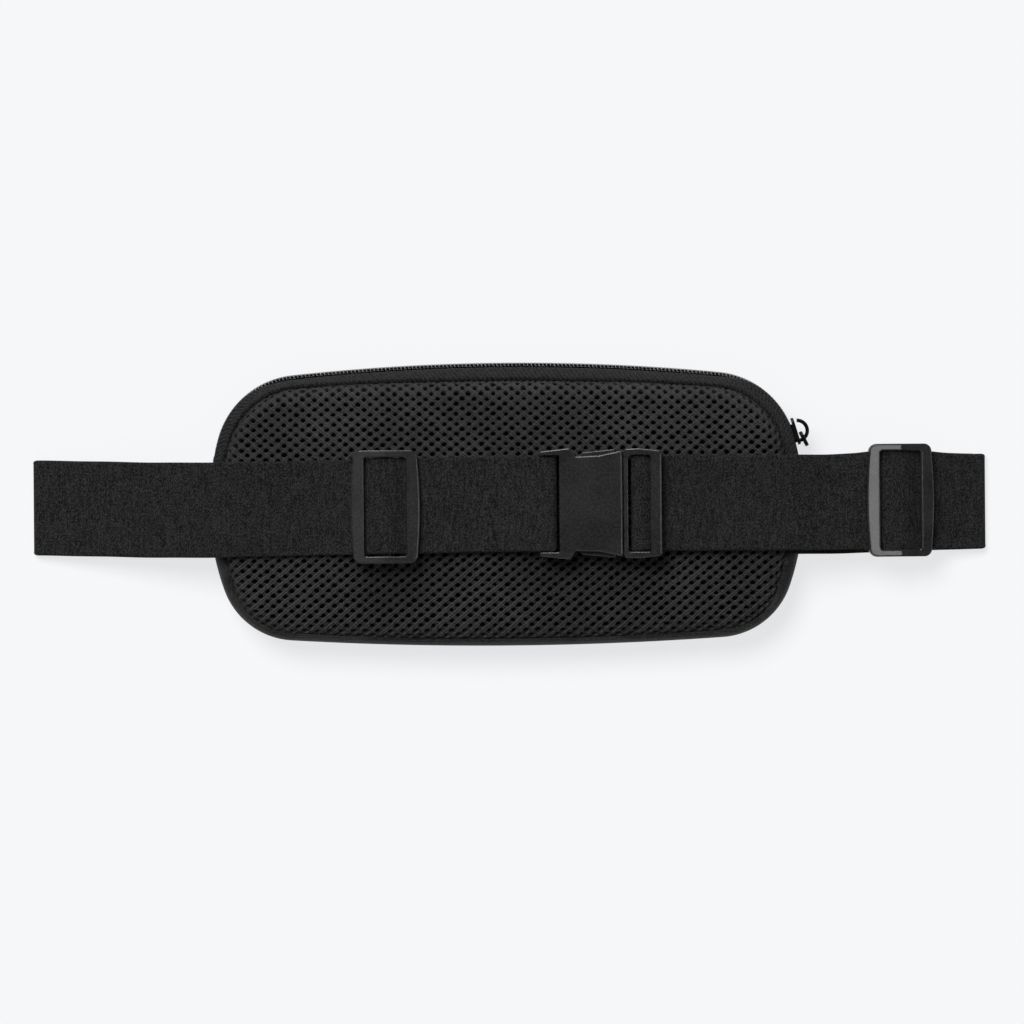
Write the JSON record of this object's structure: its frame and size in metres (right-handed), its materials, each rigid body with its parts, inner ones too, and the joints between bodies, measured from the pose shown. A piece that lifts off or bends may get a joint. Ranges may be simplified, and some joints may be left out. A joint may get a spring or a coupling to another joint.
{
  "type": "belt bag",
  "caption": "Slim zipped waist pouch with padded mesh back, folded elastic webbing belt, three-bar adjusters and side-release buckle.",
  "frame": {"origin": "middle of the flat front face that the bag lies on", "axes": "+X along the belt, from the socket half of the buckle to its plug half; +Y towards the zip edge; +Z from the front face through the padded back"},
  "size_m": [0.38, 0.1127, 0.0356],
  "materials": {
    "webbing": "matte ribbed elastic",
    "air_mesh": "matte knitted spacer mesh",
    "foam": "matte open foam",
    "lining": "matte plain weave",
    "shell_cloth": "matte plain weave with faint tonal pattern",
    "binding": "matte tape",
    "zip_tape": "matte twill tape",
    "zip_teeth": "semi-gloss nylon coil",
    "zip_metal": "black lacquer",
    "hardware": "satin moulded acetal"
  },
  "bodies": {
    "root": {"front_panel": "shell_cloth", "front_lining": "lining", "seam_binding_front": "binding", "bottom_gusset": "shell_cloth", "seam_binding_back": "binding", "back_mesh_panel": "air_mesh", "back_foam_pad": "foam", "back_lining": "lining", "zipper_tape_front": "zip_tape", "zipper_tape_back": "zip_tape", "zipper_coil_front": "zip_teeth", "zipper_coil_back": "zip_teeth", "zipper_top_stops": "zip_metal", "zipper_bottom_stop": "zip_metal", "belt_left_outer": "webbing", "belt_left_inner": "webbing", "belt_right_outer": "webbing", "belt_right_inner": "webbing", "buckle_socket": "hardware"},
    "zip_slider": {"zip_slider_body": "zip_metal", "zip_slider_crown": "zip_metal"},
    "zip_pull": {"zip_pull_tab": "zip_metal"},
    "left_adjuster": {"adjuster_left": "hardware"},
    "right_adjuster": {"adjuster_right": "hardware"},
    "plug": {"buckle_plug": "hardware"},
    "plug_arm_upper": {"buckle_arm_upper": "hardware"},
    "plug_arm_lower": {"buckle_arm_lower": "hardware"}
  },
  "joints": [
    {"name": "zip_travel", "type": "hinge", "parent": "root", "child": "zip_slider", "pos_m": [0.08162, 0.01785, 0.013], "axis": [0, 0, 1], "range_deg": [0, 58], "deforming": ["zipper_coil_front", "zipper_coil_back"]},
    {"name": "pull_swing", "type": "hinge", "parent": "zip_slider", "child": "zip_pull", "pos_m": [0.1188, 0.02519, 0.013], "axis": [-0.891, -0.454, 0], "range_deg": [0, 88]},
    {"name": "adjust_left", "type": "slide", "parent": "root", "child": "left_adjuster", "axis": [1, 0, 0], "range_m": [-0.044, 0.038], "deforming": ["belt_left_inner"]},
    {"name": "adjust_right", "type": "slide", "parent": "root", "child": "right_adjuster", "axis": [0.9692, 0, -0.2461], "range_m": [-0.024, 0.015], "deforming": ["belt_right_inner"]},
    {"name": "buckle_release", "type": "slide", "parent": "root", "child": "plug", "axis": [1, 0, 0], "range_m": [0, 0.026], "deforming": ["belt_right_inner", "buckle_arm_upper", "buckle_arm_lower"]},
    {"name": "arm_squeeze_upper", "type": "hinge", "parent": "plug", "child": "plug_arm_upper", "pos_m": [0.0461, 0.0149, 0.031], "axis": [0, 0, 1], "range_deg": [0, 7], "stiffness_Nm_per_rad": 0.6},
    {"name": "arm_squeeze_lower", "type": "hinge", "parent": "plug", "child": "plug_arm_lower", "pos_m": [0.0461, -0.0149, 0.031], "axis": [0, 0, -1], "range_deg": [0, 7], "stiffness_Nm_per_rad": 0.6}
  ]
}
